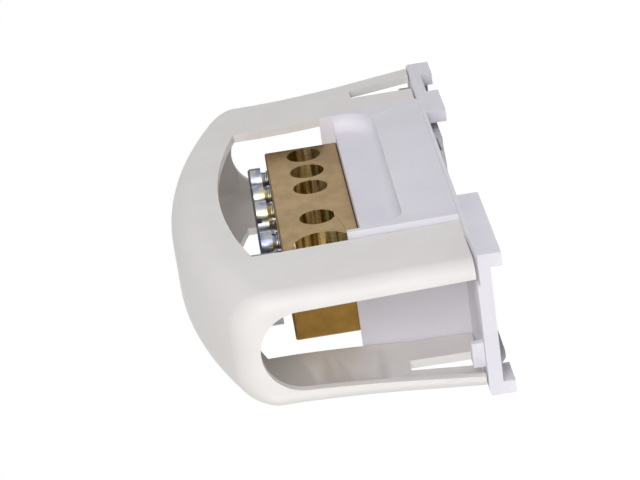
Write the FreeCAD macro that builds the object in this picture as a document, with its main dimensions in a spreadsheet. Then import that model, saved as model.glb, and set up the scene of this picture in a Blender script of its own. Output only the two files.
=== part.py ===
"""Rail-mounted power junction block: moulded base, clip-on hood, brass bar and its clamping screws.

Frame, in millimetres: +X runs across the mounting rail, +Y points out of the conductor bores' face
and +Z out of the front of the hood. Z = 0 is the rear plane of the base, and the origin is the
middle of the base's rear plane.
"""
import FreeCAD, Part
import os
import Sketcher

V = FreeCAD.Vector

SIZES = {
    # foot of the base, and the 35 mm rail that it clips on
    "foot_length": 88.2,
    "foot_width": 24.3,
    "foot_front": 4.15,
    "foot_edge": 0.6,
    "seat_plane": 3.47,
    "rail_width": 35.0,
    "rail_play": 0.1,
    "rail_centre": 2.35,
    "rail_lip": 1.0,
    "lip_play": 0.1,
    "web_rear": 1.9,
    "near_flange_pos": 2.28,
    "near_flange_neg": 2.15,
    "near_flange_neg_length": 6.3,
    "far_end_rear": 0.6,
    "guide_start": 6.1,
    "guide_length": 9.6,
    "guide_side": 9.0,
    "guide_wall": 1.2,
    "guide_rear": 0.2,
    "guide_slope": 3.6,
    "far_block_length": 25.35,
    "far_flange": 2.25,
    "far_end_wall": 1.6,
    "claw_reach": 2.0,
    "claw_root": 4.1,
    "claw_rear": 0.4,
    "claw_half_width": 9.0,
    "claw_lead_in": 0.6,
    "tongue_half_width": 8.45,
    "tongue_rear": 1.5,
    "tongue_thickness": 1.1,
    "tongue_lip_reach": 4.7,
    "tongue_lip_edge": 0.35,
    "tongue_step_length": 2.2,
    "tongue_front_gap": 0.25,
    "rib_length": 14.0,
    "rib_start": -8.9,
    "rib_height": 1.47,
    "rib_half_width": 8.5,
    "notch_length": 9.0,
    "notch_from_end": 6.2,
    "notch_high": 2.1,
    "ramp_length": 14.0,
    "ramp_depth": 0.42,
    "ramp_pos": 6.85,
    "ramp_neg": 3.4,
    # upstands inside the two sprung corners of the hood
    "upstand_height": 1.85,
    "upstand_wall": 1.2,
    "upstand_inner": 4.0,
    "upstand_outer": 8.2,
    "upstand_return": 3.0,
    "upstand_play": 0.3,
    # pedestal that carries the bar
    "centre_offset": -0.9,
    "pedestal_wall_play": 1.0,
    "pedestal_width": 22.4,
    "pedestal_draft": 0.35,
    "bar_seat": 19.6,
    "cheek_height": 2.5,
    "cheek_play": 0.05,
    "recess_rear": 12.7,
    "recess_depth": 2.8,
    "recess_near_land": 0.9,
    "recess_far_radius": 6.0,
    "recess_near_radius": 2.75,
    "recess_cove": 2.3,
    "core_pitch": 8.2,
    "core_cell": 6.8,
    "core_wall": 1.8,
    "core_rib": 1.3,
    "core_roof": 2.0,
    # brass bar
    "bar_length": 51.0,
    "bar_width": 13.1,
    "bar_height": 13.1,
    "bar_shift": -0.38,
    "bar_edge": 0.25,
    "bore_height": 6.3,
    "small_bore": 6.0,
    "big_bore": 10.0,
    "bore_outer": -21.7,
    "bore_second": -14.0,
    "bore_third": -6.6,
    "bore_fourth": 6.7,
    "bore_big": 18.2,
    # clamping screws
    "row_spread": 2.78,
    "small_thread": 4.0,
    "big_thread": 8.0,
    "thread_play": 0.05,
    "tip_clearance": 0.2,
    "small_head": 5.0,
    "small_head_height": 2.3,
    "small_stand_off": 1.2,
    "small_neck": 3.3,
    "small_neck_length": 0.7,
    "small_slot": 0.9,
    "small_slot_depth": 1.1,
    "big_head": 12.0,
    "big_head_height": 5.0,
    "big_stand_off": 1.5,
    "big_neck": 6.6,
    "big_neck_length": 1.0,
    "big_socket": 6.0,
    "big_socket_depth": 2.9,
    "head_edge": 0.35,
    "tip_edge": 0.4,
    # countersunk screw that holds the bar down
    "fixing_thread": 3.5,
    "fixing_head": 6.8,
    "fixing_head_height": 1.9,
    "fixing_rim": 0.3,
    "fixing_length": 22.0,
    "fixing_play": 0.15,
    "fixing_tip_room": 1.0,
    "fixing_slot": 0.9,
    "fixing_slot_depth": 0.9,
    # hood: a drafted shell whose rear outline is set in from the foot's
    "hood_offset": -0.65,
    "hood_end_setback": 0.25,
    "hood_side_setback": 1.7,
    "hood_end_slope": 0.0195,
    "hood_side_slope": 0.019,
    "hood_knee": 33.0,
    "hood_apex": 50.6,
    "hood_arch": 110.0,
    "hood_wall": 1.4,
    "hood_front_wall": 1.6,
    "hood_corner": 3.0,
    "hood_front_edge": 5.9,
    "window_play": 0.2,
    "window_apex": 41.8,
    "window_arch": 92.0,
    "slot_round_centre": 31.9,
    "slot_radius": 6.8,
    "slot_half_rear": 7.75,
    # two opposite corner posts bend outwards, and a slit parts each into a cheek and a leg
    "slit_width": 3.6,
    "slit_from_window": 6.7,
    "slit_top": 15.5,
    "leg_gap": 0.25,
    "far_post_bend": 200.0,
    "near_post_bend": 260.0,
    "cheek_slope": 0.008,
}

doc = FreeCAD.newDocument("junction_block")
sheet = doc.addObject("Spreadsheet::Sheet", "Sizes")
for row, (alias, value) in enumerate(SIZES.items(), 1):
    sheet.set(f"A{row}", alias)
    sheet.set(f"B{row}", str(value))
    sheet.setAlias(f"B{row}", alias)
doc.recompute()

# Places that several pieces share, as expressions on the sheet.
S = "Sizes."
FOOT_END = f"({S}foot_length / 2)"
FOOT_SIDE = f"({S}foot_width / 2)"
RAIL_HALF = f"({S}rail_width + {S}rail_play) / 2"
NEAR_FACE = f"({S}rail_centre + {RAIL_HALF})"
CATCH_FACE = f"({S}rail_centre - {RAIL_HALF})"
LIP_REAR = f"({S}seat_plane - {S}rail_lip - {S}lip_play)"
FAR_FACE = f"({S}far_block_length - {FOOT_END})"
CENTRE = f"{S}centre_offset"
BAR_HALF = f"{S}bar_length / 2"
PEDESTAL_HALF = f"({BAR_HALF} + {S}pedestal_wall_play)"
PEDESTAL_SIDE = f"({S}pedestal_width / 2)"
CHEEK_TOP = f"({S}bar_seat + {S}cheek_height)"
BAR_FRONT = f"({S}bar_seat + {S}bar_height)"
BORE_LEVEL = f"({S}bar_seat + {S}bore_height)"
SMALL_BORES = ("bore_outer", "bore_second", "bore_third", "bore_fourth")
BAR_MIDDLE = f"{S}bar_shift"
HOOD_HALF = f"({FOOT_END} - {S}hood_end_setback)"
HOOD_SIDE = f"({FOOT_SIDE} - {S}hood_side_setback)"
WINDOW_HALF = f"({PEDESTAL_HALF} + {S}pedestal_draft + {S}window_play)"
SLIT_PLACE = f"({WINDOW_HALF} + {S}slit_from_window)"
PAST = 5.0      # how far a cutter runs past what it cuts
BITE = 1.0      # how far a cutter runs back into an earlier cut


def number(expression):
    """The value of an expression on the sheet."""
    return float(sheet.evalExpression(expression.replace(S, "")))


def bind(thing, **expressions):
    """Ties properties of a feature to expressions on the sheet."""
    for name, expression in expressions.items():
        thing.setExpression(name.replace("__", "."), expression)


def plane(body, role):
    """The body's own origin plane of that role."""
    return [item for item in body.Origin.OriginFeatures if item.Role == role][0]


def new_sketch(body, name, role, offset):
    """An empty sketch on one of the body's origin planes, moved along its normal."""
    sketch = body.newObject("Sketcher::SketchObject", name)
    sketch.AttachmentSupport = [(plane(body, role), "")]
    sketch.MapMode = "FlatFace"
    bind(sketch, AttachmentOffset__Base__z=offset)
    return sketch


def fix_point(sketch, curve, end, across, up):
    """Dimensions the end of a sketch curve from the origin by two expressions."""
    for kind, expression in (("DistanceX", across), ("DistanceY", up)):
        spot = Sketcher.Constraint(kind, -1, 1, curve, end, number(expression))
        sketch.setExpression(f"Constraints[{sketch.addConstraint(spot)}]", expression)


def add_outline(sketch, points):
    """A closed outline of straight edges, each corner dimensioned by two expressions."""
    first = sketch.GeometryCount
    spots = [V(number(point[0]), number(point[1]), 0) for point in points]
    for index, spot in enumerate(spots):
        sketch.addGeometry(Part.LineSegment(spot, spots[(index + 1) % len(spots)]))
    for index, point in enumerate(points):
        before = first + (index - 1) % len(spots)
        sketch.addConstraint(Sketcher.Constraint("Coincident", before, 2, first + index, 1))
        fix_point(sketch, first + index, 1, point[0], point[1])


def add_circle(sketch, across, up, diameter):
    """A circle placed and sized by expressions."""
    middle = V(number(across), number(up), 0)
    curve = sketch.addGeometry(Part.Circle(middle, V(0, 0, 1), number(diameter) / 2))
    fix_point(sketch, curve, 3, across, up)
    size = sketch.addConstraint(Sketcher.Constraint("Diameter", curve, number(diameter)))
    sketch.setExpression(f"Constraints[{size}]", diameter)


def rectangle(x_low, x_high, y_low, y_high):
    """The four corners of a rectangle."""
    return [(x_low, y_low), (x_high, y_low), (x_high, y_high), (x_low, y_high)]


def pad(body, sketch, length, name):
    """A pad along the sketch's normal."""
    feature = body.newObject("PartDesign::Pad", name)
    feature.Profile = sketch
    bind(feature, Length=length)
    doc.recompute()
    return feature


def pocket(body, sketch, length, name, along_normal=False):
    """A pocket against the sketch's normal, or along it, that has to take something away."""
    before = body.Shape.Volume
    feature = body.newObject("PartDesign::Pocket", name)
    feature.Profile = sketch
    feature.Reversed = along_normal
    bind(feature, Length=length)
    doc.recompute()
    if not body.Shape.Volume < before - 1e-6:
        raise ValueError(f"{name} cuts nothing")
    return feature


def side_pad(body, name, points, side_high, side_low):
    """A profile in the XZ plane, padded from side_high down to side_low along Y."""
    sketch = new_sketch(body, f"{name}_outline", "XZ_Plane", f"-({side_high})")
    add_outline(sketch, points)
    return pad(body, sketch, f"{side_high} - ({side_low})", name)


def front_pad(body, name, outlines, rear, front):
    """Outlines in the XY plane, padded from rear to front along Z."""
    sketch = new_sketch(body, f"{name}_outline", "XY_Plane", rear)
    for points in outlines:
        add_outline(sketch, points)
    return pad(body, sketch, f"{front} - ({rear})", name)


def edge_feature(body, kind, name, size, wanted):
    """A fillet or chamfer on the edges that wanted() picks from the body."""
    tip = body.Tip
    names = [f"Edge{i}" for i, edge in enumerate(tip.Shape.Edges, 1) if wanted(edge)]
    if not names:
        raise ValueError(f"{name} finds no edge")
    feature = body.newObject(f"PartDesign::{kind}", name)
    feature.Base = (tip, names)
    bind(feature, **{"Radius" if kind == "Fillet" else "Size": size})
    doc.recompute()
    return feature


# Base: foot, rail latch, pedestal and upstands, moulded in one piece.
def make_base():
    body = doc.addObject("PartDesign::Body", "base")
    body.Label = "base"

    # The foot's side profile: near block, rail seat, far block.
    foot = [
        (f"-{FOOT_END}", f"{S}foot_front"),
        (FOOT_END, f"{S}foot_front"),
        (FOOT_END, "0"),
        (NEAR_FACE, "0"),
        (NEAR_FACE, f"{S}seat_plane"),
        (FAR_FACE, f"{S}seat_plane"),
        (FAR_FACE, "0"),
        (f"-{FOOT_END}", "0"),
    ]
    side_pad(body, "foot", foot, FOOT_SIDE, f"-{FOOT_SIDE}")

    def is_long_front(edge):
        box = edge.BoundBox
        return box.ZMin > number(f"{S}seat_plane") and box.XLength > number(FOOT_END)
    edge_feature(body, "Fillet", "foot_edges", f"{S}foot_edge", is_long_front)

    # Behind the near block's web: one full flange, and a short one at the end.
    pos_inside = f"{FOOT_SIDE} - {S}near_flange_pos"
    neg_inside = f"-({FOOT_SIDE} - {S}near_flange_neg)"
    short_start = f"{FOOT_END} - {S}near_flange_neg_length"
    beyond = f"-({FOOT_SIDE} + {PAST})"
    sketch = new_sketch(body, "near_channel_outline", "XY_Plane", f"{S}web_rear")
    add_outline(sketch, [
        (f"{NEAR_FACE} - {S}claw_reach", pos_inside),
        (f"{FOOT_END} + {PAST}", pos_inside),
        (f"{FOOT_END} + {PAST}", neg_inside),
        (short_start, neg_inside),
        (short_start, beyond),
        (f"{NEAR_FACE} - {S}claw_reach", beyond),
    ])
    pocket(body, sketch, f"{S}web_rear + {PAST}", "near_channel")

    # The fixed claw that reaches behind the rail's near lip.
    claw_tip = f"{NEAR_FACE} - {S}claw_reach"
    claw = [
        (claw_tip, LIP_REAR),
        (claw_tip, f"{S}claw_rear + {S}claw_lead_in"),
        (f"{claw_tip} + {S}claw_lead_in", f"{S}claw_rear"),
        (f"{NEAR_FACE} + {S}claw_root", f"{S}claw_rear"),
        (f"{NEAR_FACE} + {S}claw_root", f"{S}web_rear"),
        (NEAR_FACE, f"{S}web_rear"),
        (NEAR_FACE, LIP_REAR),
    ]
    side_pad(body, "claw", claw, f"{S}claw_half_width", f"-{S}claw_half_width")

    # The far block is open behind, between its flanges and its end wall.
    flange_inside = f"{FOOT_SIDE} - {S}far_flange"
    sketch = new_sketch(body, "far_channel_outline", "XY_Plane", f"{S}seat_plane")
    add_outline(sketch, rectangle(
        f"-({FOOT_END} - {S}far_end_wall)", f"{FAR_FACE} + {PAST}",
        f"-({flange_inside})", flange_inside))
    pocket(body, sketch, f"{S}seat_plane + {PAST}", "far_channel")

    # The far end wall stops short of the rear plane.
    sketch = new_sketch(body, "far_relief_outline", "XY_Plane", f"{S}far_end_rear")
    add_outline(sketch, rectangle(
        f"-({FOOT_END} + {PAST})", f"-({FOOT_END} - {S}far_end_wall - {BITE})",
        f"-({flange_inside})", flange_inside))
    pocket(body, sketch, f"{S}far_end_rear + {PAST}", "far_relief")

    # The springy tongue with the step that catches the rail's far lip.
    tongue_front = f"{S}tongue_rear + {S}tongue_thickness"
    tongue_root = f"-({FOOT_END} - {S}far_end_wall)"
    tongue_tip = f"{CATCH_FACE} + {S}tongue_lip_reach"
    step_front = f"{S}seat_plane - {S}tongue_front_gap"
    step_far = f"{CATCH_FACE} - {S}tongue_step_length"
    tongue = [
        (tongue_root, tongue_front),
        (tongue_root, f"{S}tongue_rear"),
        (f"{CATCH_FACE} + {S}tongue_lip_edge", f"{S}tongue_rear"),
        (tongue_tip, f"{LIP_REAR} - {S}tongue_lip_edge"),
        (tongue_tip, LIP_REAR),
        (CATCH_FACE, LIP_REAR),
        (CATCH_FACE, step_front),
        (step_far, step_front),
        (f"{step_far} - ({step_front} - ({tongue_front}))", tongue_front),
    ]
    side_pad(body, "tongue", tongue, f"{S}tongue_half_width", f"-{S}tongue_half_width")

    # A longitudinal rib beside the claw, with a sloping end, behind the near block's web.
    guide_start = f"{NEAR_FACE} + {S}guide_start"
    guide_end = f"{guide_start} + {S}guide_length"
    guide = [
        (guide_start, f"{S}web_rear"),
        (guide_start, f"{S}guide_rear"),
        (guide_end, f"{S}guide_rear"),
        (f"{guide_end} + {S}guide_slope", f"{S}web_rear"),
    ]
    side_pad(body, "guide", guide, f"-{S}guide_side", f"-{S}guide_side - {S}guide_wall")

    # The low crowned rib that dips into the hollow of the rail.
    sketch = new_sketch(body, "seat_rib_outline", "XZ_Plane", f"-{S}rib_half_width")
    rib_end = f"{S}rib_start + {S}rib_length"
    rib_low = f"{S}seat_plane - {S}rib_height"
    add_outline(sketch, [
        (f"{S}rib_start", f"{S}foot_front"),
        (f"{S}rib_start", rib_low),
        (f"{S}rib_start + {S}rib_length * 0.4", f"{rib_low} + {S}rib_height * 0.22"),
        (f"{S}rib_start + {S}rib_length * 0.75", f"{rib_low} + {S}rib_height * 0.6"),
        (rib_end, f"{S}seat_plane"),
        (rib_end, f"{S}foot_front"),
    ])
    pad(body, sketch, f"2 * {S}rib_half_width", "seat_rib")

    # The pedestal, its cheeks at both ends, and the seat of the bar between them.
    root_half = f"({PEDESTAL_HALF} + {S}pedestal_draft)"
    root_side = f"({PEDESTAL_SIDE} + {S}pedestal_draft)"
    pedestal = front_pad(body, "pedestal", [rectangle(
        f"{CENTRE} - {root_half}", f"{CENTRE} + {root_half}",
        f"-{root_side}", root_side)], f"{S}foot_front", CHEEK_TOP)
    bind(pedestal, TaperAngle=f"-atan({S}pedestal_draft / ({CHEEK_TOP} - {S}foot_front))")
    doc.recompute()
    seat_half = f"({BAR_HALF} + {S}cheek_play)"
    sketch = new_sketch(body, "bar_seat_outline", "XZ_Plane", f"-({PEDESTAL_SIDE} + {PAST})")
    add_outline(sketch, rectangle(
        f"{CENTRE} - {seat_half}", f"{CENTRE} + {seat_half}",
        f"{S}bar_seat", f"{CHEEK_TOP} + {PAST}"))
    pocket(body, sketch, f"2 * ({PEDESTAL_SIDE} + {PAST})", "bar_seat", along_normal=True)

    # The recess in front of the bores, on both sides, with a cove at its rear.
    recess_near = f"{CENTRE} + {seat_half} - {S}recess_near_land"
    recess_far = f"{CENTRE} - {seat_half}"
    for name, side in (("pos", 1), ("neg", -1)):
        floor = f"{PEDESTAL_SIDE} - {S}recess_depth"
        sketch = new_sketch(body, f"recess_{name}_outline", "XZ_Plane", f"-({side}) * ({floor})")
        add_outline(sketch, rectangle(
            recess_far, recess_near, f"{S}recess_rear", f"{S}bar_seat + {PAST}"))
        pocket(body, sketch, f"{S}recess_depth + {PAST}", f"recess_{name}",
               along_normal=side < 0)
    level = number(f"{S}recess_rear")
    deep = number(PEDESTAL_SIDE) - number(f"{S}recess_depth")
    for name, x_corner, radius in (("far", recess_far, "recess_far_radius"),
                                   ("near", recess_near, "recess_near_radius")):
        x_value = number(x_corner)

        def is_corner(edge, x_value=x_value):
            middle = edge.CenterOfMass
            return (abs(middle.x - x_value) < 1e-3 and abs(middle.z - level) < 1e-3
                    and abs(middle.y) > deep)
        edge_feature(body, "Fillet", f"recess_{name}_corner", f"{S}{radius}", is_corner)

    def is_cove(edge):
        box = edge.BoundBox
        flat = abs(abs(box.YMin) - deep) < 1e-3 and abs(box.YMax - box.YMin) < 1e-3
        return flat and box.ZMin < number(f"{S}bar_seat") - 1.0
    edge_feature(body, "Fillet", "recess_cove", f"{S}recess_cove", is_cove)

    # Cores that hollow the pedestal from behind, in two rows, clear of rib, claw and screw.
    columns = round(number(f"2 * {PEDESTAL_HALF} / {S}core_pitch"))
    core_side = f"({PEDESTAL_SIDE} - {S}recess_depth - {S}core_wall)"
    sketch = new_sketch(body, "cores_outline", "XY_Plane", f"{S}seat_plane")
    for column in range(columns):
        middle = f"({CENTRE} + {S}core_pitch * {column - (columns - 1) / 2})"
        low = f"{middle} - {S}core_cell / 2"
        high = f"{middle} + {S}core_cell / 2"
        over_rib = (number(high) > number(f"{S}rib_start")
                    and number(low) < number(f"{S}rib_start + {S}rib_length"))
        over_claw = number(high) > number(f"{NEAR_FACE} - {S}claw_reach")
        if over_rib or over_claw:
            continue
        add_outline(sketch, rectangle(low, high, f"{S}core_rib / 2", core_side))
        add_outline(sketch, rectangle(low, high, f"-{core_side}", f"-{S}core_rib / 2"))
    pocket(body, sketch, f"{S}bar_seat - {S}core_roof - {S}seat_plane", "cores",
           along_normal=True)

    # The pilot hole of the bar's fixing screw.
    sketch = new_sketch(body, "pilot_outline", "XY_Plane", f"{S}bar_seat")
    add_circle(sketch, CENTRE, BAR_MIDDLE, f"{S}fixing_thread + 2 * {S}thread_play")
    pocket(body, sketch, f"{S}fixing_length + {S}fixing_tip_room - {S}bar_height", "pilot")

    # A notch in the far block's flange, on the side of the bores, open to the rear.
    sketch = new_sketch(body, "notch_outline", "XZ_Plane", f"-({flange_inside} - {BITE})")
    notch_start = f"-({FOOT_END} - {S}notch_from_end)"
    add_outline(sketch, rectangle(
        notch_start, f"{notch_start} + {S}notch_length", f"-{PAST}", f"{S}notch_high"))
    pocket(body, sketch, f"{S}far_flange + {PAST}", "notch")

    # A shallow ramp in the front of the foot, which leads a blade in under the hood's near end.
    sketch = new_sketch(body, "ramp_outline", "XZ_Plane", f"-({S}ramp_pos)")
    ramp_start = f"({FOOT_END} - {S}ramp_length)"
    ramp_end = f"({FOOT_END} + {S}ramp_length)"
    add_outline(sketch, [
        (ramp_start, f"{S}foot_front"),
        (ramp_end, f"{S}foot_front - 2 * {S}ramp_depth"),
        (ramp_end, f"{S}foot_front"),
    ])
    pocket(body, sketch, f"{S}ramp_pos + {S}ramp_neg", "ramp")

    # Angled upstands inside the two sprung corners of the hood.
    outlines = []
    for end in (1, -1):
        side = -end
        tip = f"{S}hood_offset + {end} * ({HOOD_HALF} - {S}hood_wall - {S}upstand_play)"
        wall = f"{tip} - {end} * {S}upstand_wall"
        back = f"{tip} - {end} * {S}upstand_return"
        corner = f"{side} * {S}upstand_outer"
        inside = f"{side} * ({S}upstand_outer - {S}upstand_wall)"
        outlines.append([
            (tip, f"{side} * {S}upstand_inner"),
            (tip, corner),
            (back, corner),
            (back, inside),
            (wall, inside),
            (wall, f"{side} * {S}upstand_inner"),
        ])
    front_pad(body, "upstands", outlines, f"{S}foot_front", f"{S}foot_front + {S}upstand_height")
    return body


# Brass bar: sawn square rod, cross-drilled for the conductors and tapped from the front.
def make_bar():
    body = doc.addObject("PartDesign::Body", "distribution_bar")
    body.Label = "distribution_bar"
    bar_pos = f"({BAR_MIDDLE} + {S}bar_width / 2)"
    bar_neg = f"({BAR_MIDDLE} - {S}bar_width / 2)"
    side_pad(body, "rod", rectangle(
        f"{CENTRE} - {BAR_HALF}", f"{CENTRE} + {BAR_HALF}", f"{S}bar_seat", BAR_FRONT),
        bar_pos, bar_neg)
    edge_feature(body, "Chamfer", "rod_edges", f"{S}bar_edge", lambda edge: True)

    sketch = new_sketch(body, "bores_outline", "XZ_Plane", f"-({bar_pos} + {PAST})")
    for place in SMALL_BORES:
        add_circle(sketch, f"{CENTRE} + {S}{place}", BORE_LEVEL, f"{S}small_bore")
    add_circle(sketch, f"{CENTRE} + {S}bore_big", BORE_LEVEL, f"{S}big_bore")
    pocket(body, sketch, f"{S}bar_width + {2 * PAST}", "bores", along_normal=True)

    sketch = new_sketch(body, "tapped_outline", "XY_Plane", BORE_LEVEL)
    for place in SMALL_BORES:
        for side in (1, -1):
            add_circle(sketch, f"{CENTRE} + {S}{place}", row_line(side), f"{S}small_thread")
    add_circle(sketch, f"{CENTRE} + {S}bore_big", BAR_MIDDLE, f"{S}big_thread")
    pocket(body, sketch, f"{S}bar_height", "tapped", along_normal=True)

    # The countersunk hole of the fixing screw.
    sketch = new_sketch(body, "fixing_hole_outline", "XY_Plane", f"{S}bar_seat - {PAST}")
    add_circle(sketch, CENTRE, BAR_MIDDLE, f"{S}fixing_thread + 2 * {S}fixing_play")
    pocket(body, sketch, f"{S}bar_height + {2 * PAST}", "fixing_hole", along_normal=True)
    rim = f"{BAR_FRONT} - {S}fixing_rim - {S}fixing_play"
    sketch = new_sketch(body, "sink_outline", "XZ_Plane", f"-({BAR_MIDDLE})")
    add_outline(sketch, [
        (CENTRE, f"{BAR_FRONT} + {PAST}"),
        (CENTRE, f"{rim} - {S}fixing_head_height + {S}fixing_rim"),
        (f"{CENTRE} + {S}fixing_thread / 2", f"{rim} - {S}fixing_head_height + {S}fixing_rim"),
        (f"{CENTRE} + {S}fixing_head / 2 + {S}fixing_play", rim),
        (f"{CENTRE} + {S}fixing_head / 2 + {S}fixing_play", f"{BAR_FRONT} + {PAST}"),
    ])
    turn(body, sketch, "Groove", "sink")
    return body


def row_line(side):
    """The Y of a row of small clamping screws, as an expression."""
    return f"({BAR_MIDDLE} + {side} * {S}row_spread)"


def turn(body, sketch, kind, name):
    """A full Revolution or Groove about the sketch's first edge, which lies on the axis."""
    feature = body.newObject(f"PartDesign::{kind}", name)
    feature.Profile = sketch
    feature.ReferenceAxis = (sketch, ["Edge1"])
    feature.Angle = 360.0
    doc.recompute()
    return feature


# Screws: turned from the head to the tip, with the drive cut into the head.
def make_screw(name, across, depth, head, underside, neck, shank, drive):
    """A screw on the line (across, depth), its profile given by expressions.

    head is its diameter and height, neck its diameter and length, shank its radius and the Z of
    its tip, and drive is the width and depth of a slot, or of a hexagon socket where "hexagon".
    """
    body = doc.addObject("PartDesign::Body", name)
    body.Label = name
    head_radius = f"{across} + {head[0]} / 2"
    top = f"{underside} + {head[1]}"
    neck_radius = f"{across} + {neck[0]} / 2"
    neck_end = f"{underside} - {neck[1]}"
    shank_radius = f"{across} + {shank[0]}"
    tip = shank[1]
    sketch = new_sketch(body, f"{name}_profile", "XZ_Plane", f"-({depth})")
    add_outline(sketch, [
        (across, top),
        (across, tip),
        (f"{shank_radius} - {S}tip_edge", tip),
        (shank_radius, f"{tip} + {S}tip_edge"),
        (shank_radius, neck_end),
        (neck_radius, neck_end),
        (neck_radius, underside),
        (head_radius, underside),
        (head_radius, f"{top} - {S}head_edge"),
        (f"{head_radius} - {S}head_edge", top),
    ])
    turn(body, sketch, "Revolution", "turned")
    sketch = new_sketch(body, f"{name}_drive", "XY_Plane", top)
    kind, width, deep = drive
    if kind == "slot":
        reach = f"({head[0]} / 2 + {PAST})"
        add_outline(sketch, rectangle(
            f"{across} - {reach}", f"{across} + {reach}",
            f"{depth} - {width} / 2", f"{depth} + {width} / 2"))
    else:
        flat = f"{width} / 2"
        corner = f"{width} / 1.7320508"
        add_outline(sketch, [
            (f"{across} - {corner}", depth),
            (f"{across} - {corner} / 2", f"{depth} - {flat}"),
            (f"{across} + {corner} / 2", f"{depth} - {flat}"),
            (f"{across} + {corner}", depth),
            (f"{across} + {corner} / 2", f"{depth} + {flat}"),
            (f"{across} - {corner} / 2", f"{depth} + {flat}"),
        ])
    pocket(body, sketch, deep, "drive")
    return body


def make_clamp_screws():
    """The pairs of small clamping screws, then the big one, all backed out of their bores."""
    made = []
    small_tip = f"{BORE_LEVEL} + {S}small_bore / 2 + {S}tip_clearance"
    for row_name, side in (("a", 1), ("b", -1)):
        for count, place in enumerate(SMALL_BORES, 1):
            made.append(make_screw(
                f"clamp_screw_{row_name}{count}", f"({CENTRE} + {S}{place})", row_line(side),
                (f"{S}small_head", f"{S}small_head_height"),
                f"({BAR_FRONT} + {S}small_stand_off)",
                (f"{S}small_neck", f"{S}small_neck_length"),
                (f"({S}small_thread / 2 - {S}thread_play)", f"({small_tip})"),
                ("slot", f"{S}small_slot", f"{S}small_slot_depth")))
    big_tip = f"{BORE_LEVEL} + {S}big_bore / 2 + {S}tip_clearance"
    made.append(make_screw(
        "main_clamp_screw", f"({CENTRE} + {S}bore_big)", BAR_MIDDLE,
        (f"{S}big_head", f"{S}big_head_height"), f"({BAR_FRONT} + {S}big_stand_off)",
        (f"{S}big_neck", f"{S}big_neck_length"),
        (f"({S}big_thread / 2 - {S}thread_play)", f"({big_tip})"),
        ("hexagon", f"{S}big_socket", f"{S}big_socket_depth")))
    return made


def make_fixing_screw():
    """The countersunk screw that holds the bar on the pedestal, its head in the bar's sink."""
    name = "bar_fixing_screw"
    body = doc.addObject("PartDesign::Body", name)
    body.Label = name
    shank = f"{CENTRE} + {S}fixing_thread / 2"
    head = f"{CENTRE} + {S}fixing_head / 2"
    top = f"({BAR_FRONT} - {S}fixing_play)"
    tip = f"({BAR_FRONT} - {S}fixing_length)"
    sketch = new_sketch(body, "fixing_profile", "XZ_Plane", f"-({BAR_MIDDLE})")
    add_outline(sketch, [
        (CENTRE, top),
        (CENTRE, tip),
        (f"{shank} - {S}tip_edge", tip),
        (shank, f"{tip} + {S}tip_edge"),
        (shank, f"{top} - {S}fixing_head_height"),
        (head, f"{top} - {S}fixing_rim"),
        (head, top),
    ])
    turn(body, sketch, "Revolution", "turned")
    sketch = new_sketch(body, "fixing_drive", "XY_Plane", top)
    reach = f"({S}fixing_head / 2 + {PAST})"
    add_outline(sketch, rectangle(
        f"{CENTRE} - {reach}", f"{CENTRE} + {reach}",
        f"{BAR_MIDDLE} - {S}fixing_slot / 2", f"{BAR_MIDDLE} + {S}fixing_slot / 2"))
    pocket(body, sketch, f"{S}fixing_slot_depth", "drive")
    return body


# Hood: a drafted, arched shell, with windows over the bores, end slots and two springy legs.
def solid(kind, name, placement=None, **expressions):
    """A Part primitive whose sizes are expressions, placed by x, y and z expressions."""
    thing = doc.addObject(f"Part::{kind}", name)
    for axis, expression in zip("xyz", placement or ()):
        thing.setExpression(f"Placement.Base.{axis}", expression)
    bind(thing, **expressions)
    return thing


def lying_cylinder(name, radius, length, middle, along="Y"):
    """A cylinder along X or Y through the middle, given by expressions."""
    thing = solid("Cylinder", name, Radius=radius, Height=length)
    axis, start = (V(1, 0, 0), 1) if along == "Y" else (V(0, 1, 0), -1)
    thing.Placement = FreeCAD.Placement(V(0, 0, 0), FreeCAD.Rotation(axis, 90))
    for letter, place in zip("xyz", middle):
        if letter == along.lower():
            place = f"{place} + {start} * ({length}) / 2"
        thing.setExpression(f"Placement.Base.{letter}", place)
    return thing


def combine(kind, name, *things):
    """A boolean of solids: Common and Cut take two, MultiFuse takes any number."""
    result = doc.addObject(f"Part::{kind}", name)
    if kind == "MultiFuse":
        result.Shapes = list(things)
    else:
        result.Base = things[0]
        result.Tool = things[1]
    doc.recompute()
    return result


# The slope of the hood's long sides as an angle, and their half width where it starts.
KNEE_SINE = f"({S}hood_side_slope / sqrt(1 + {S}hood_side_slope ^ 2))"
KNEE_COSINE = f"(1 / sqrt(1 + {S}hood_side_slope ^ 2))"
AT_KNEE = f"({HOOD_SIDE} - {S}hood_side_slope * ({S}hood_knee - {S}foot_front))"


def leg_sine(bend):
    """The slope of a leg that runs on from a bent post, as the sine of its angle."""
    return f"({KNEE_SINE} + ({S}hood_knee - {S}slit_top) / {bend})"


def post_side(bend):
    """The half width of the hood at the slit's top, on a bent post."""
    return f"({AT_KNEE} + {bend} * ({KNEE_COSINE} - sqrt(1 - {leg_sine(bend)} ^ 2)))"


def leg_side(bend, level):
    """The half width of the hood at a level behind the slit's top, on a leg."""
    slope = f"({leg_sine(bend)} / sqrt(1 - {leg_sine(bend)} ^ 2))"
    return f"({post_side(bend)} + {slope} * ({S}slit_top - ({level})))"


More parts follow.
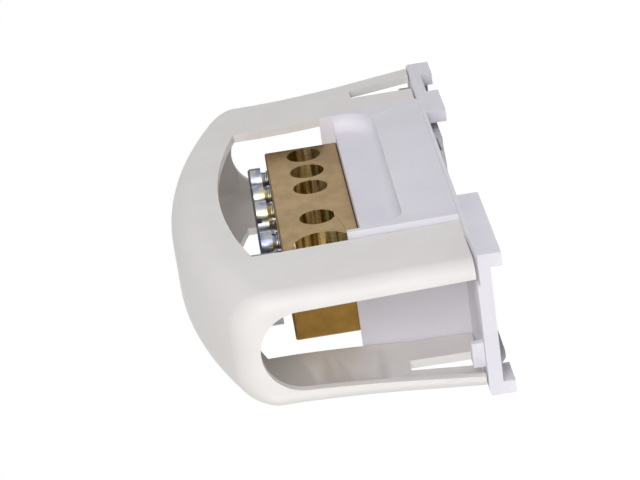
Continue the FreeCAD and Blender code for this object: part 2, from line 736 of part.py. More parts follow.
def drafted_block(name, inset, low, high, side_low, side_high):
    """A stretch of the hood's form between two levels, with its half width at each."""
    block = doc.addObject("Part::Wedge", name)

    def half_at(level):
        return f"({HOOD_HALF} - {S}hood_end_slope * (({level}) - {S}foot_front) - ({inset}))"
    # The wedge tapers along its own Y, which is turned to point out of the front.
    bind(block, Xmin=f"-{half_at(low)}", Xmax=half_at(low),
         X2min=f"-{half_at(high)}", X2max=half_at(high),
         Zmin=f"-({side_low} - ({inset}))", Zmax=f"{side_low} - ({inset})",
         Z2min=f"-({side_high} - ({inset}))", Z2max=f"{side_high} - ({inset})",
         Ymin="0", Ymax=f"({high}) - ({low})")
    block.Placement = FreeCAD.Placement(V(0, 0, 0), FreeCAD.Rotation(V(1, 0, 0), 90))
    block.setExpression("Placement.Base.x", f"{S}hood_offset")
    block.setExpression("Placement.Base.z", low)
    return block


def arched_block(name, inset, front_inset, rear, corner, front_edge, finish, bend):
    """The hood's form inside a wall: drafted blocks cut by the arch, their edges finished.

    With a bend radius the long sides curve outwards from the knee to the slit's top and run
    straight on from there.
    """
    if bend:
        levels = [(rear, leg_side(bend, rear)), (f"{S}slit_top", post_side(bend)),
                  (f"{S}hood_knee", post_side(bend))]
    else:
        at_rear = f"({AT_KNEE} + {S}hood_side_slope * ({S}hood_knee - ({rear})))"
        levels = [(rear, at_rear), (f"{S}hood_knee", AT_KNEE)]
    blocks = []
    for index, (start, stop) in enumerate(zip(levels, levels[1:]), 1):
        blocks.append(drafted_block(f"{name}_{index}", inset, start[0], stop[0],
                                    start[1], stop[1]))
    if bend:
        rounds = []
        for side, sign in (("left", "-"), ("right", "")):
            out = f"({AT_KNEE} - ({inset}) + {bend} * {KNEE_COSINE})"
            rounds.append(lying_cylinder(f"{name}_{side}_bend", bend, f"4 * {FOOT_END}",
                                         ("0", f"{sign}{out}",
                                          f"{S}hood_knee + {bend} * {KNEE_SINE}"), along="X"))
        blocks[-1] = combine("Cut", f"{name}_bent", blocks[-1],
                             combine("MultiFuse", f"{name}_bends", *rounds))
    blocks.append(drafted_block(f"{name}_front", inset, f"{S}hood_knee",
                                f"({S}hood_apex + {PAST})", AT_KNEE, AT_KNEE))
    body = combine("MultiFuse", f"{name}_body", *blocks)
    body.Refine = True
    arch = lying_cylinder(f"{name}_arch", f"({S}hood_arch - {front_inset})",
                          f"4 * {FOOT_SIDE}", (CENTRE, "0", f"{S}hood_apex - {S}hood_arch"))
    both = combine("Common", f"{name}_sharp", body, arch)
    finished = doc.addObject(f"Part::{finish}", f"{name}_finished")
    finished.Base = both
    edges = []
    for index, edge in enumerate(both.Shape.Edges, 1):
        box = edge.BoundBox
        if box.ZLength > max(box.XLength, box.YLength):
            edges.append((index, number(corner), number(corner)))
        elif box.ZMin > number(f"{S}hood_knee") + 1e-3:
            edges.append((index, number(front_edge), number(front_edge)))
    finished.Edges = edges
    doc.recompute()
    return finished


def hood_shell(name, bend=""):
    """The hood's wall without openings, its long sides bent outwards if a radius is given."""
    rear = f"{S}foot_front"
    # A flat across an inner edge takes the place of the round that runs along the outer edge.
    flat = "(2 - sqrt(2))"
    outer = arched_block(f"{name}_outer", "0", "0", rear, f"{S}hood_corner",
                         f"{S}hood_front_edge", "Fillet", bend)
    inner = arched_block(f"{name}_inner", f"{S}hood_wall", f"{S}hood_front_wall",
                         f"({rear} - {PAST})", f"{flat} * ({S}hood_corner - {S}hood_wall)",
                         f"{flat} * ({S}hood_front_edge - {S}hood_front_wall)", "Chamfer", bend)
    return combine("Cut", f"{name}_shell", outer, inner)


def make_hood():
    rear = f"{S}foot_front"
    wide = f"4 * {FOOT_SIDE}"
    tall = f"2 * {S}hood_apex"
    past_end = f"({FOOT_END} + {PAST})"

    def quarter(name, end, start, stop, bottom, height):
        """A box from one distance to another past the centre, on the splayed corner's side."""
        x_low = f"{CENTRE} + {start}" if end > 0 else f"{CENTRE} - {stop}"
        return solid("Box", name, (x_low, "0" if end < 0 else f"-({wide})", bottom),
                     Length=f"{stop} - {start}", Width=wide, Height=height)
    # Two opposite corner posts bend outwards, so they come from shells with bent sides.
    shell = hood_shell("plain")
    leg_start = f"({SLIT_PLACE} + {S}slit_width)"
    pieces = []
    for name, end in (("far", -1), ("near", 1)):
        bend = f"{S}{name}_post_bend"
        shell = combine("Cut", f"{name}_left_out", shell,
                        quarter(f"{name}_corner", end, WINDOW_HALF, past_end, "0", tall))
        post = combine("Common", f"{name}_whole_post", hood_shell(f"{name}_bent", bend),
                       quarter(f"{name}_post_place", end, WINDOW_HALF, past_end,
                               f"{rear} + {S}leg_gap", tall))
        pieces.append(combine("Cut", f"{name}_post", post,
                              quarter(f"{name}_freed", end, WINDOW_HALF, leg_start,
                                      "0", f"{S}slit_top")))
        # The cheek hangs from the bent post and is nearly upright.
        cheek = doc.addObject("Part::Wedge", f"{name}_cheek")
        at_slit = post_side(bend)
        long = f"({S}slit_top - {rear} - {S}leg_gap)"
        at_rear = f"({at_slit} + {S}cheek_slope * {long})"
        stretch = ((WINDOW_HALF, SLIT_PLACE) if end > 0
                   else (f"-({SLIT_PLACE})", f"-({WINDOW_HALF})"))
        bind(cheek, Xmin=stretch[0], Xmax=stretch[1], X2min=stretch[0], X2max=stretch[1],
             Ymin="0", Ymax=long)
        if end > 0:
            bind(cheek, Zmin=f"{at_rear} - {S}hood_wall", Zmax=at_rear,
                 Z2min=f"{at_slit} - {S}hood_wall", Z2max=at_slit)
        else:
            bind(cheek, Zmin=f"-{at_rear}", Zmax=f"{S}hood_wall - {at_rear}",
                 Z2min=f"-{at_slit}", Z2max=f"{S}hood_wall - {at_slit}")
        cheek.Placement = FreeCAD.Placement(V(0, 0, 0), FreeCAD.Rotation(V(1, 0, 0), 90))
        cheek.setExpression("Placement.Base.x", f"{S}hood_offset")
        cheek.setExpression("Placement.Base.z", f"{rear} + {S}leg_gap")
        pieces.append(cheek)
    shell = combine("MultiFuse", "shell", shell, *pieces)
    shell.Refine = True

    # Windows over the conductor bores, through both long walls, with an arched front edge.
    window_box = solid("Box", "window_box", (f"{CENTRE} - {WINDOW_HALF}", f"-({wide}) / 2",
                                             f"{rear} - {PAST}"),
                       Length=f"2 * {WINDOW_HALF}", Width=wide,
                       Height=f"{S}window_apex - ({rear} - {PAST})")
    window_arch = lying_cylinder("window_arch_round", f"{S}window_arch", wide,
                                 (CENTRE, "0", f"{S}window_apex - {S}window_arch"))
    windows = combine("Common", "windows", window_box, window_arch)

    # Slots through the end walls, wider at the rear, with a round front end.
    slot = doc.addObject("Part::Wedge", "slot_taper")
    bind(slot, Xmin=f"-{past_end}", Xmax=past_end, X2min=f"-{past_end}", X2max=past_end,
         Zmin=f"-{S}slot_half_rear", Zmax=f"{S}slot_half_rear",
         Z2min=f"-{S}slot_radius", Z2max=f"{S}slot_radius",
         Ymin="0", Ymax=f"{S}slot_round_centre - {rear}")
    slot.Placement = FreeCAD.Placement(V(0, 0, 0), FreeCAD.Rotation(V(1, 0, 0), 90))
    slot.setExpression("Placement.Base.z", rear)
    slot_round = solid("Cylinder", "slot_round", Radius=f"{S}slot_radius",
                       Height=f"2 * {past_end}")
    slot_round.Placement = FreeCAD.Placement(V(0, 0, 0), FreeCAD.Rotation(V(0, 1, 0), 90))
    slot_round.setExpression("Placement.Base.x", f"-{past_end}")
    slot_round.setExpression("Placement.Base.z", f"{S}slot_round_centre")
    hood = combine("Cut", "hood", shell,
                   combine("MultiFuse", "openings", windows, slot, slot_round))
    hood.Label = "hood"
    return hood


def check(shape_owner):
    """Stops if a sub-part's shape is missing or broken."""
    if shape_owner.Shape.isNull() or not shape_owner.Shape.isValid():
        raise ValueError(f"{shape_owner.Label} has no valid shape")


parts = [make_base(), make_bar(), *make_clamp_screws(), make_fixing_screw(), make_hood()]
doc.recompute()
for thing in doc.Objects:
    if "Invalid" in thing.State or "Error" in thing.State:
        raise ValueError(f"{thing.Name} failed: {thing.State}")
os.makedirs("parts", exist_ok=True)
for part in parts:
    check(part)
    print(part.Label, part.Shape.BoundBox, round(part.Shape.Volume, 1), len(part.Shape.Solids))
    part.Shape.exportStep(f"parts/{part.Label}.step")
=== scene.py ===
"""Power junction block: finishes, wound screw threads, softened mouldings, camera, light, floor."""

import math

import bmesh
import bpy
from mathutils import Matrix, Vector


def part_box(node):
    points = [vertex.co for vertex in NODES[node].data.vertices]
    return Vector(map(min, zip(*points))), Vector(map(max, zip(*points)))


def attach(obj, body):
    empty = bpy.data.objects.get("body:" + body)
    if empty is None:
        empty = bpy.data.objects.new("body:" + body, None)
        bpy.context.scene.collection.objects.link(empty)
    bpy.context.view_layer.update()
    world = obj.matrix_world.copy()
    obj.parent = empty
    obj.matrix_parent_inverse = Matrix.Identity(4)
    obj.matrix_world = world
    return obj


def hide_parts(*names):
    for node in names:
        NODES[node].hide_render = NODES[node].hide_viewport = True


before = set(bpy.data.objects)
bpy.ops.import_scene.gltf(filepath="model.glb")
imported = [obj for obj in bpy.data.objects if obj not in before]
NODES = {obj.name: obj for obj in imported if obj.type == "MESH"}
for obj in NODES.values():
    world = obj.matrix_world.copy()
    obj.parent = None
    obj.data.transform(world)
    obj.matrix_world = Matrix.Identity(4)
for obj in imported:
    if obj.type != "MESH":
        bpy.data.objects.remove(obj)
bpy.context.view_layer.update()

MM = 0.001


def linear(code):
    """An sRGB hex colour as the linear RGBA that shader sockets take."""
    values = [int(code[i:i + 2], 16) / 255 for i in (0, 2, 4)]
    return [v / 12.92 if v <= 0.04045 else ((v + 0.055) / 1.055) ** 2.4 for v in values] + [1.0]


def add(tree, kind, settings=None, **links):
    """Adds a node with its settings, then its inputs: a socket links, anything else is a value.

    An input goes by its name, with _ for a space, or as i and its number where names repeat.
    """
    node = tree.nodes.new(kind)
    for name, value in (settings or {}).items():
        setattr(node, name, value)
    for key, value in links.items():
        slot = int(key[1:]) if key[0] == "i" and key[1:].isdigit() else key.replace("_", " ")
        if isinstance(value, bpy.types.NodeSocket):
            tree.links.new(value, node.inputs[slot])
        else:
            node.inputs[slot].default_value = value
    return node


def new_material(name):
    """An empty material, its node tree and its object coordinates."""
    material = bpy.data.materials.new(name)
    material.use_nodes = True
    tree = material.node_tree
    tree.nodes.clear()
    return material, tree, add(tree, "ShaderNodeTexCoord").outputs["Object"]


# Moulded plastic: the size of its flow clouds and of the mould's eroded skin, in mm.
CLOUD_SIZE = 9.0
CLOUD_EDGES = (0.3, 0.7)
SKIN_SIZE = 0.35
SKIN_DEPTH = 0.006
PLASTIC_IOR = 1.52
# How far a plastic's or a plating's roughness wanders to each side.
GLOSS_WANDER = 0.05


def moulded_plastic(name, light, dark, roughness):
    """Injection-moulded plastic: an even tone with faint flow clouds and a fine eroded skin."""
    material, tree, place = new_material(name)
    clouds = add(tree, "ShaderNodeTexNoise", Vector=place, Scale=1 / (CLOUD_SIZE * MM), Detail=2.0)
    share = add(tree, "ShaderNodeMapRange", Value=clouds.outputs["Fac"],
                From_Min=CLOUD_EDGES[0], From_Max=CLOUD_EDGES[1])
    tone = add(tree, "ShaderNodeMix", {"data_type": "RGBA"}, i0=share.outputs["Result"],
               i6=linear(dark), i7=linear(light))
    skin = add(tree, "ShaderNodeTexNoise", Vector=place, Scale=1 / (SKIN_SIZE * MM), Detail=2.0)
    gloss = add(tree, "ShaderNodeMapRange", Value=skin.outputs["Fac"],
                To_Min=roughness - GLOSS_WANDER, To_Max=roughness + GLOSS_WANDER)
    relief = add(tree, "ShaderNodeBump", Height=skin.outputs["Fac"], Distance=SKIN_DEPTH * MM,
                 Strength=1.0)
    shader = add(tree, "ShaderNodeBsdfPrincipled", Base_Color=tone.outputs[2],
                 Roughness=gloss.outputs["Result"], Normal=relief.outputs["Normal"],
                 IOR=PLASTIC_IOR)
    add(tree, "ShaderNodeOutputMaterial", Surface=shader.outputs["BSDF"])
    return material


# Cut brass: how far its tool marks move its tone, as a share of the clouds, and its roughness.
MARK_TONE = 0.06
MARK_GLOSS = 0.07


def cut_brass(name, low, high, roughness, marks_and_depth, cloud_size=2.5, cloud_run=1.0,
              band=0.16):
    """Brass with tool marks over clouds, which cloud_run draws out along the conductor bores into
    painted reflection streaks.

    marks_and_depth makes the marks' pattern and gives their depth in mm. band is how far from
    the middle of the pattern the low and the high tone are reached.
    """
    material, tree, place = new_material(name)
    marks, depth = marks_and_depth(tree, place)
    drawn_out = add(tree, "ShaderNodeMapping", Vector=place, Scale=(1, 1 / cloud_run, 1))
    clouds = add(tree, "ShaderNodeTexNoise", Vector=drawn_out.outputs["Vector"],
                 Scale=1 / (cloud_size * MM), Detail=3.0)
    shift = add(tree, "ShaderNodeMapRange", Value=marks, To_Min=-MARK_TONE, To_Max=MARK_TONE)
    pattern = add(tree, "ShaderNodeMath", {"operation": "ADD"}, i0=shift.outputs["Result"],
                  i1=clouds.outputs["Fac"])
    share = add(tree, "ShaderNodeMapRange", Value=pattern.outputs[0],
                From_Min=0.5 - band, From_Max=0.5 + band)
    tone = add(tree, "ShaderNodeMix", {"data_type": "RGBA"}, i0=share.outputs["Result"],
               i6=linear(low), i7=linear(high))
    gloss = add(tree, "ShaderNodeMapRange", Value=marks,
                To_Min=roughness - MARK_GLOSS, To_Max=roughness + MARK_GLOSS)
    relief = add(tree, "ShaderNodeBump", Height=marks, Distance=depth * MM, Strength=1.0)
    shader = add(tree, "ShaderNodeBsdfPrincipled", Base_Color=tone.outputs[2], Metallic=1.0,
                 Roughness=gloss.outputs["Result"], Normal=relief.outputs["Normal"])
    add(tree, "ShaderNodeOutputMaterial", Surface=shader.outputs["BSDF"])
    return material


def drawn_lines(tree, place):
    """Fine die lines along the drawn rod, 0.25 mm apart and some 30 times as long."""
    along = add(tree, "ShaderNodeMapping", Vector=place, Scale=(1 / 30, 1, 1))
    lines = add(tree, "ShaderNodeTexNoise", Vector=along.outputs["Vector"],
                Scale=1 / (0.25 * MM), Detail=4.0)
    return lines.outputs["Fac"], 0.008


def saw_lines(tree, place):
    """Saw marks across the rod's ends, about 0.35 mm apart and a little off the level."""
    tilted = add(tree, "ShaderNodeMapping", Vector=place, Rotation=(0.35, 0, 0))
    across = add(tree, "ShaderNodeMapping", Vector=tilted.outputs["Vector"], Scale=(1, 1 / 9, 1))
    lines = add(tree, "ShaderNodeTexNoise", Vector=across.outputs["Vector"],
                Scale=1 / (0.35 * MM), Detail=4.0)
    return lines.outputs["Fac"], 0.02


# The length over which Blender's wave texture repeats at a scale of 1.
WAVE_LENGTH = math.tau / 20


def drill_rings(tree, place):
    """The drill's feed rings round each conductor bore, drawn 0.24 mm apart to show."""
    rings = add(tree, "ShaderNodeTexWave", {"bands_direction": "Y"}, Vector=place,
                Scale=WAVE_LENGTH / (0.24 * MM), Distortion=1.5, Detail=2.0, Detail_Scale=2.0)
    return rings.outputs["Fac"], 0.004


def tap_rings(tree, place):
    """The turns of the tapped threads, 0.7 mm apart."""
    rings = add(tree, "ShaderNodeTexWave", {"bands_direction": "Z"}, Vector=place,
                Scale=WAVE_LENGTH / (0.7 * MM), Distortion=1.5, Detail=2.0, Detail_Scale=2.0)
    return rings.outputs["Fac"], 0.12


# Zinc plating: the size of its clouds and of its grain in mm, and where its three tones lie.
TINT_SIZE = 2.2
TINT_STOPS = (0.38, 0.5, 0.62)
GRAIN_SIZE = 0.3
GRAIN_DEPTH = 0.003


def zinc(name, low, high, straw, roughness):
    """Bright zinc plating: cold grey with violet and straw clouds from its passivation."""
    material, tree, place = new_material(name)
    clouds = add(tree, "ShaderNodeTexNoise", Vector=place, Scale=1 / (TINT_SIZE * MM), Detail=1.0)
    to_high = add(tree, "ShaderNodeMapRange", Value=clouds.outputs["Fac"],
                  From_Min=TINT_STOPS[0], From_Max=TINT_STOPS[1])
    to_straw = add(tree, "ShaderNodeMapRange", Value=clouds.outputs["Fac"],
                   From_Min=TINT_STOPS[1], From_Max=TINT_STOPS[2])
    cold = add(tree, "ShaderNodeMix", {"data_type": "RGBA"}, i0=to_high.outputs["Result"],
               i6=linear(low), i7=linear(high))
    tone = add(tree, "ShaderNodeMix", {"data_type": "RGBA"}, i0=to_straw.outputs["Result"],
               i6=cold.outputs[2], i7=linear(straw))
    grain = add(tree, "ShaderNodeTexNoise", Vector=place, Scale=1 / (GRAIN_SIZE * MM), Detail=2.0)
    gloss = add(tree, "ShaderNodeMapRange", Value=grain.outputs["Fac"],
                To_Min=roughness - GLOSS_WANDER, To_Max=roughness + GLOSS_WANDER)
    relief = add(tree, "ShaderNodeBump", Height=grain.outputs["Fac"], Distance=GRAIN_DEPTH * MM,
                 Strength=1.0)
    shader = add(tree, "ShaderNodeBsdfPrincipled", Base_Color=tone.outputs[2], Metallic=1.0,
                 Roughness=gloss.outputs["Result"], Normal=relief.outputs["Normal"])
    add(tree, "ShaderNodeOutputMaterial", Surface=shader.outputs["BSDF"])
    return material


# The hood's ABS is a soft, slightly warm grey-white, a little glossier than the base.
HOOD_PLASTIC = moulded_plastic("moulded_abs_warm_grey", "ebe7e3", "e7e3de", 0.42)
# The base's polyamide is a duller white that leans to violet beside the hood.
BASE_PLASTIC = moulded_plastic("moulded_polyamide_cool_white", "e9e6ec", "e5e2e8", 0.48)
# Drawn brass has a dull olive-gold skin with streaks along the bar.
BRASS_DRAWN = cut_brass("brass_drawn", "9b825a", "aa9168", 0.42, drawn_lines)
# A sawn end is fresher and so more orange, with coarse marks across it.
BRASS_SAWN = cut_brass("brass_sawn", "a27e3f", "b18c4b", 0.45, saw_lines)
# A drilled bore is the brightest brass, and its hard dark and pale gold bands, drawn out along each
# bore, are painted reflection streaks.
BRASS_DRILLED = cut_brass("brass_drilled_painted_reflections", "8f7038", "fff2c8", 0.3, drill_rings,
                          cloud_size=0.8, cloud_run=14.0, band=0.08)
# A tapped hole is as bright, and its thread breaks the light into steps.
BRASS_TAPPED = cut_brass("brass_tapped", "9c7c44", "b8965a", 0.3, tap_rings)
# The bar's rear edge faces carry painted shade: a dark brown in place of the shadow gap between the
# bar and the pedestal, which reads as a dark line over it.
BRASS_SHADED = cut_brass("brass_edge_painted_shade", "453a22", "584a2c", 0.5, drawn_lines)
# The small screws' plating is shiny, with violet and straw patches.
SMALL_ZINC = zinc("zinc_plated_steel_tinted", "878aa3", "a6abb2", "b8b08c", 0.3)
# The main screw's plating is a plainer grey, and is darkened as painted shade for the screw that
# sits inside the hood.
MAIN_ZINC = zinc("zinc_plated_steel_painted_shade", "676e75", "858b90", "8e9088", 0.32)


# Points of a CAD node that are nearer than this many mm are one.
SAME_POINT = 0.002


def merged_copy(node, name, materials, radial=None):
    """A new object of a CAD node's triangles with their shared corners merged.

    radial maps a distance from the piece's own axis and a height to a new distance.
    """
    mesh = bmesh.new()
    mesh.from_mesh(NODES[node].data)
    bmesh.ops.remove_doubles(mesh, verts=mesh.verts, dist=SAME_POINT * MM)
    if radial:
        low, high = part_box(node)
        middle = Vector(((low[0] + high[0]) / 2, (low[1] + high[1]) / 2, 0))
        for vert in mesh.verts:
            across = Vector((vert.co.x, vert.co.y, 0)) - middle
            if across.length > 0.01 * MM:
                flat = middle + across * (radial(across.length, vert.co.z) / across.length)
                vert.co.x, vert.co.y = flat.x, flat.y
    data = bpy.data.meshes.new(name)
    mesh.to_mesh(data)
    mesh.free()
    for material in materials:
        data.materials.append(material)
    thing = bpy.data.objects.new(name, data)
    bpy.context.scene.collection.objects.link(thing)
    return thing


# Edges sharper than these, in degrees, stay edges on the mouldings and the bar, and on screws.
MOULDING_ANGLE = 28
SCREW_ANGLE = 40
# Faces that turn by less than this, in degrees, are one face before their edges are rounded.
FLAT_ANGLE = 0.2


def soften(thing, angle, width_mm=0.0, flat_first=False):
    """Shades what is gentler than the angle as one surface and may round the edges above it.

    flat_first lets large flat faces keep their own normals beside small rounds.
    """
    if width_mm:
        mesh = bmesh.new()
        mesh.from_mesh(thing.data)
        bmesh.ops.dissolve_limit(mesh, angle_limit=math.radians(FLAT_ANGLE), verts=mesh.verts,
                                 edges=mesh.edges, delimit={"MATERIAL"})
        mesh.to_mesh(thing.data)
        mesh.free()
        bevel = thing.modifiers.new("edge", "BEVEL")
        bevel.width = width_mm * MM
        bevel.segments = 2
        bevel.limit_method = "ANGLE"
        bevel.angle_limit = math.radians(angle)
        bevel.harden_normals = True
    thing.data.set_sharp_from_angle(angle=math.radians(angle))
    thing.data.polygons.foreach_set("use_smooth", [True] * len(thing.data.polygons))
    if flat_first:
        even = thing.modifiers.new("even_shading", "WEIGHTED_NORMAL")
        even.keep_sharp = True
        even.weight = 100
    settle(thing)


def settle(thing):
    """Turns the object and its modifiers into a plain mesh."""
    graph = bpy.context.evaluated_depsgraph_get()
    done = bpy.data.meshes.new_from_object(thing.evaluated_get(graph))
    thing.modifiers.clear()
    thing.data = done


def thread_tree():
    """Geometry Nodes: one screw thread, a V ridge that winds up a shank."""
    tree = bpy.data.node_groups.new("screw_thread", "GeometryNodeTree")
    sockets = tree.interface
    sockets.new_socket("Geometry", in_out="OUTPUT", socket_type="NodeSocketGeometry")
    sockets.new_socket("Geometry", in_out="INPUT", socket_type="NodeSocketGeometry")
    for name in ("Centre radius", "Ridge", "Height", "Turns"):
        sockets.new_socket(name, in_out="INPUT", socket_type="NodeSocketFloat")
    sockets.new_socket("Foot", in_out="INPUT", socket_type="NodeSocketVector")
    sockets.new_socket("Finish", in_out="INPUT", socket_type="NodeSocketMaterial")
    given = tree.nodes.new("NodeGroupInput").outputs
    helix = add(tree, "GeometryNodeCurveSpiral", Resolution=28, Rotations=given["Turns"],
                Start_Radius=given["Centre radius"], End_Radius=given["Centre radius"],
                Height=given["Height"])
    upright = add(tree, "GeometryNodeSetCurveNormal", {"mode": "Z_UP"},
                  Curve=helix.outputs["Curve"])
    section = add(tree, "GeometryNodeCurvePrimitiveCircle", {"mode": "RADIUS"},
                  Resolution=3, Radius=given["Ridge"])
    ridge = add(tree, "GeometryNodeCurveToMesh", Curve=upright.outputs["Curve"],
                Profile_Curve=section.outputs["Curve"], Fill_Caps=True)
    placed = add(tree, "GeometryNodeTransform", Geometry=ridge.outputs["Mesh"],
                 Translation=given["Foot"])
    real = add(tree, "GeometryNodeRealizeInstances", Geometry=placed.outputs["Geometry"])
    dressed = add(tree, "GeometryNodeSetMaterial", Geometry=real.outputs["Geometry"],
                  Material=given["Finish"])
    add(tree, "NodeGroupOutput", Geometry=dressed.outputs["Geometry"])
    return tree


THREAD = thread_tree()
# A thread's depth and its ridge's half height, as shares of its pitch.
THREAD_DEPTH = 0.6
RIDGE_SHARE = 0.42


def threaded_screw(node, body, finish, head_mm, thread_mm, pitch_mm, neck_mm, edge_mm):
    """A screw with a wound thread in place of the CAD node's plain shank."""
    low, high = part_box(node)
    outside = thread_mm / 2 * MM
    root = outside - THREAD_DEPTH * pitch_mm * MM
    thread_end = high[2] - head_mm * MM - neck_mm * MM

    def slimmer(radius, height):
        """The shank's skin goes down to the root of the thread; its cone and head stay."""
        if height < thread_end + 0.01 * MM and radius > root:
            return root
        return radius
    screw = merged_copy(node, node + "_threaded", [finish], slimmer)
    soften(screw, SCREW_ANGLE, edge_mm)
    thread = bpy.data.objects.new(node + "_thread", bpy.data.meshes.new(node + "_thread"))
    bpy.context.scene.collection.objects.link(thread)
    winding = thread.modifiers.new("winding", "NODES")
    winding.node_group = THREAD
    ridge = RIDGE_SHARE * pitch_mm * MM
    height = thread_end - low[2] - 2 * ridge
    values = {"Centre radius": outside - ridge, "Ridge": ridge, "Height": height,
              "Turns": height / (pitch_mm * MM), "Finish": finish,
              "Foot": ((low[0] + high[0]) / 2, (low[1] + high[1]) / 2, low[2] + ridge)}
    for item in THREAD.interface.items_tree:
        if item.in_out == "INPUT" and item.name in values:
            winding[item.identifier] = values[item.name]
    settle(thread)
    mesh = bmesh.new()
    mesh.from_mesh(screw.data)
    mesh.from_mesh(thread.data)
    mesh.to_mesh(screw.data)
    mesh.free()
    bpy.data.objects.remove(thread)
    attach(screw, body)
    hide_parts(node)


# The hood's posts at two opposite corners bend outwards below the knee. Lengths are in mm, and
# a post goes by the sign of its end: -1 is the far one and 1 the near one.
KNEE = 33.0
SLIT_TOP = 15.5
SIDE_AT_KNEE = 9.9
SIDE_SLOPE = 0.019
POST_BENDS = {-1: 200.0, 1: 260.0}
# The outermost part of a bent post's side, which stays as it is.
SIDE_KEPT = 1.3
# Half the end slots' width, at their rear and where their round starts, each with its height.
SLOT_REAR = (4.15, 7.75)
SLOT_FRONT = (31.9, 6.8)
# The end walls lie further than this from the hood's middle.
END_WALL = 40.0
# Heights at which the posts get a row of points, so that their slots' edges can curve.
POST_ROWS = (8.0, 12.0, SLIT_TOP, 18.5, 21.5, 24.5, 27.5, 30.5)


def lean_of_post(bend, level):
    """How far a bent post stands outside a plain one at a level behind the knee."""
    knee_sine = SIDE_SLOPE / math.hypot(1, SIDE_SLOPE)
    stop = max(level, SLIT_TOP)
    sine = knee_sine + (KNEE - stop) / bend
    cosine = math.sqrt(1 - sine ** 2)
    out = bend * (math.sqrt(1 - knee_sine ** 2) - cosine) + sine / cosine * (stop - level)
    return out - SIDE_SLOPE * (KNEE - level)


def follow_posts(thing):
    """Lets the end slots' edges lean out with the bent posts.

    A slot's edge moves by all of the lean, the kept part of the side by nothing, and what lies
    between them by a share.
    """
    mesh = bmesh.new()
    mesh.from_mesh(thing.data)
    for level in POST_ROWS:
        everything = mesh.verts[:] + mesh.edges[:] + mesh.faces[:]
        bmesh.ops.bisect_plane(mesh, geom=everything, dist=0.001 * MM,
                               plane_co=(0, 0, level * MM), plane_no=(0, 0, 1))
    narrowing = (SLOT_REAR[1] - SLOT_FRONT[1]) / (SLOT_FRONT[0] - SLOT_REAR[0])
    for vert in mesh.verts:
        x, y, z = vert.co / MM
        end = 1 if x > 0 else -1
        slot_edge = SLOT_REAR[1] - narrowing * (z - SLOT_REAR[0])
        from_middle = -end * y
        if abs(x) > END_WALL and z < SLOT_FRONT[0] and from_middle > slot_edge - 0.05:
            lean = lean_of_post(POST_BENDS[end], z)
            side = SIDE_AT_KNEE + SIDE_SLOPE * (KNEE - z) + lean - SIDE_KEPT
            share = (side - from_middle) / (side - slot_edge)
            vert.co.y = -end * (from_middle + lean * max(share, 0)) * MM
    mesh.to_mesh(thing.data)
    mesh.free()


hood = merged_copy("hood", "hood_moulding", [HOOD_PLASTIC])
follow_posts(hood)
soften(hood, MOULDING_ANGLE)
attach(hood, "cover")
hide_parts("hood")

base = merged_copy("base", "base_moulding", [BASE_PLASTIC])
soften(base, MOULDING_ANGLE, 0.12)
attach(base, "block")
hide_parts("base")

# The bar's faces take their finish from how each was cut, except the rear edge's faces, which take
# painted shade. Holes start this many mm inside it.
DRAWN, SAWN, DRILLED, TAPPED, SHADED = range(5)
HOLE_START = 0.3
bar = merged_copy("distribution_bar", "brass_bar",
                  [BRASS_DRAWN, BRASS_SAWN, BRASS_DRILLED, BRASS_TAPPED, BRASS_SHADED])
bar_low, bar_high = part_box("distribution_bar")
for face in bar.data.polygons:
    inside = all(low + HOLE_START * MM < middle < high - HOLE_START * MM for low, middle, high
                 in zip(bar_low, face.center, bar_high))
    if inside:
        face.material_index = DRILLED if abs(face.normal.y) < 0.05 else TAPPED
    elif abs(face.normal.x) > 0.99:
        face.material_index = SAWN
    # The rear edge's faces take the dark painted shade of the gap behind the bar.
    elif face.normal.z < -0.5 and face.normal.y > 0.5:
        face.material_index = SHADED
    else:
        face.material_index = DRAWN
soften(bar, MOULDING_ANGLE, flat_first=True)
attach(bar, "block")
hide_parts("distribution_bar")

fixing = merged_copy("bar_fixing_screw", "fixing_screw_countersunk", [SMALL_ZINC])
soften(fixing, SCREW_ANGLE, 0.06)
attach(fixing, "block")
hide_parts("bar_fixing_screw")

for node_name in sorted(NODES):
    if node_name.startswith("clamp_screw"):
        threaded_screw(node_name, node_name.replace("clamp_screw", "small_screw"), SMALL_ZINC,
                       head_mm=2.3, thread_mm=3.9, pitch_mm=0.7, neck_mm=0.7, edge_mm=0.08)
# The main screw takes the darker plating, which is its painted shade inside the hood.
threaded_screw("main_clamp_screw", "main_screw", MAIN_ZINC,
               head_mm=5.0, thread_mm=7.9, pitch_mm=1.25, neck_mm=1.0, edge_mm=0.12)


# Camera: the photograph's viewing angle, solved from the object's edges.
CAMERA_PLACE = Vector((379.6, 167.4, 36.8)) * MM
CAMERA_RIGHT = Vector((0.0877, -0.1335, -0.9872))
CAMERA_UP = Vector((-0.396, 0.9046, -0.1575))
FOCAL_PIXELS = 2428.0
FRAME_PIXELS = 640
SENSOR_MM = 36.0

camera_data = bpy.data.cameras.new("camera")
camera_data.sensor_width = SENSOR_MM
camera_data.lens = SENSOR_MM * FOCAL_PIXELS / FRAME_PIXELS
camera_data.clip_start = 10 * MM
camera = bpy.data.objects.new("camera", camera_data)
bpy.context.scene.collection.objects.link(camera)
right = CAMERA_RIGHT.normalized()
back = right.cross(CAMERA_UP).normalized()
up = back.cross(right)
turn = Matrix((right, up, back)).transposed()
camera.matrix_world = Matrix.Translation(CAMERA_PLACE) @ turn.to_4x4()
bpy.context.scene.camera = camera
bpy.context.scene.view_settings.view_transform = "Standard"


OBJECT_MIDDLE = Vector((0, 0, 25)) * MM


def lamp(name, place_mm, size_mm, watts, colour="ffffff"):
    """A square soft box that faces the middle of the object."""
    data = bpy.data.lights.new(name, "AREA")
    data.size = size_mm * MM
    data.energy = watts
    data.color = linear(colour)[:3]
    thing = bpy.data.objects.new(name, data)
    thing.location = Vector(place_mm) * MM
    aim = OBJECT_MIDDLE - thing.location
    thing.rotation_euler = aim.to_track_quat("-Z", "Y").to_euler()
    bpy.context.scene.collection.objects.link(thing)


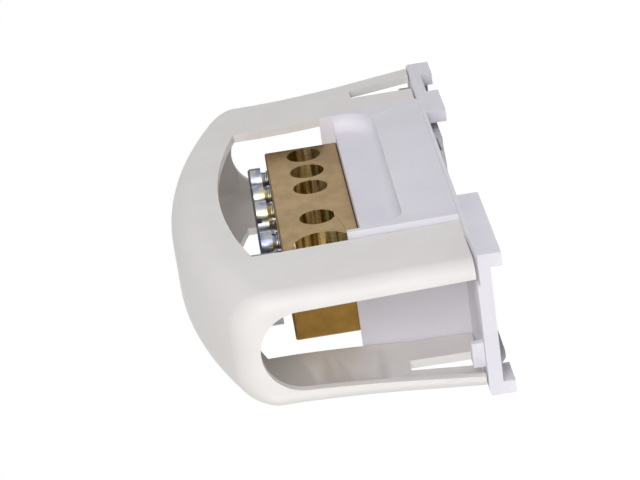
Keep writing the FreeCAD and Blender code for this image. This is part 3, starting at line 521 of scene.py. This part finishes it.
lamp("near_end_softbox", (520, 240, 130), 380, 1.45)
lamp("bore_side_softbox", (420, 440, 60), 380, 1.1, "eef2ff")
lamp("far_side_fill", (300, -420, 60), 400, 1.2)
lamp("front_softbox", (60, 420, 420), 400, 0.25, "f2f5ff")


def sees_studio(tree, *kinds):
    """1 for the kinds of ray that show the studio itself, and 0 for all that carry its light."""
    path = add(tree, "ShaderNodeLightPath")
    share = path.outputs[kinds[0]]
    for kind in kinds[1:]:
        share = add(tree, "ShaderNodeMath", {"operation": "MAXIMUM"},
                    i0=share, i1=path.outputs[kind]).outputs[0]
    return share


# Surroundings: white to the camera and in reflections, and a low even light otherwise.
WORLD_LIGHT = 0.34
world = bpy.data.worlds.new("studio")
bpy.context.scene.world = world
world.use_nodes = True
sky = world.node_tree
sky.nodes.clear()
plain = add(sky, "ShaderNodeBackground", Color=linear("ffffff"), Strength=WORLD_LIGHT)
white = add(sky, "ShaderNodeBackground", Color=linear("ffffff"), Strength=1.0)
mixed = add(sky, "ShaderNodeMixShader",
            Fac=sees_studio(sky, "Is Camera Ray", "Is Transmission Ray", "Is Glossy Ray"),
            i1=plain.outputs[0], i2=white.outputs[0])
add(sky, "ShaderNodeOutputWorld", Surface=mixed.outputs[0])

# Floor: nearly all of what the camera sees of it glows white, and the rest keeps the shadow.
FLOOR_HALF = 3.0
GLOW_SHARE = 0.93
GLOW_STRENGTH = 1.07
floor_material = bpy.data.materials.new("floor_white")
floor_material.use_nodes = True
ground = floor_material.node_tree
ground.nodes.clear()
share = add(ground, "ShaderNodeMath", {"operation": "MULTIPLY"},
            i0=sees_studio(ground, "Is Camera Ray", "Is Glossy Ray"), i1=GLOW_SHARE)
matt = add(ground, "ShaderNodeBsdfDiffuse", Color=linear("f4f4f4"))
glow = add(ground, "ShaderNodeEmission", Color=linear("ffffff"), Strength=GLOW_STRENGTH)
mixed = add(ground, "ShaderNodeMixShader", Fac=share.outputs[0],
            i1=matt.outputs[0], i2=glow.outputs[0])
add(ground, "ShaderNodeOutputMaterial", Surface=mixed.outputs[0])

floor_mesh = bpy.data.meshes.new("floor")
corners = [(-FLOOR_HALF, -FLOOR_HALF, 0), (FLOOR_HALF, -FLOOR_HALF, 0),
           (FLOOR_HALF, FLOOR_HALF, 0), (-FLOOR_HALF, FLOOR_HALF, 0)]
floor_mesh.from_pydata(corners, [], [(0, 1, 2, 3)])
floor_mesh.materials.append(floor_material)
floor = bpy.data.objects.new("floor", floor_mesh)
bpy.context.scene.collection.objects.link(floor)
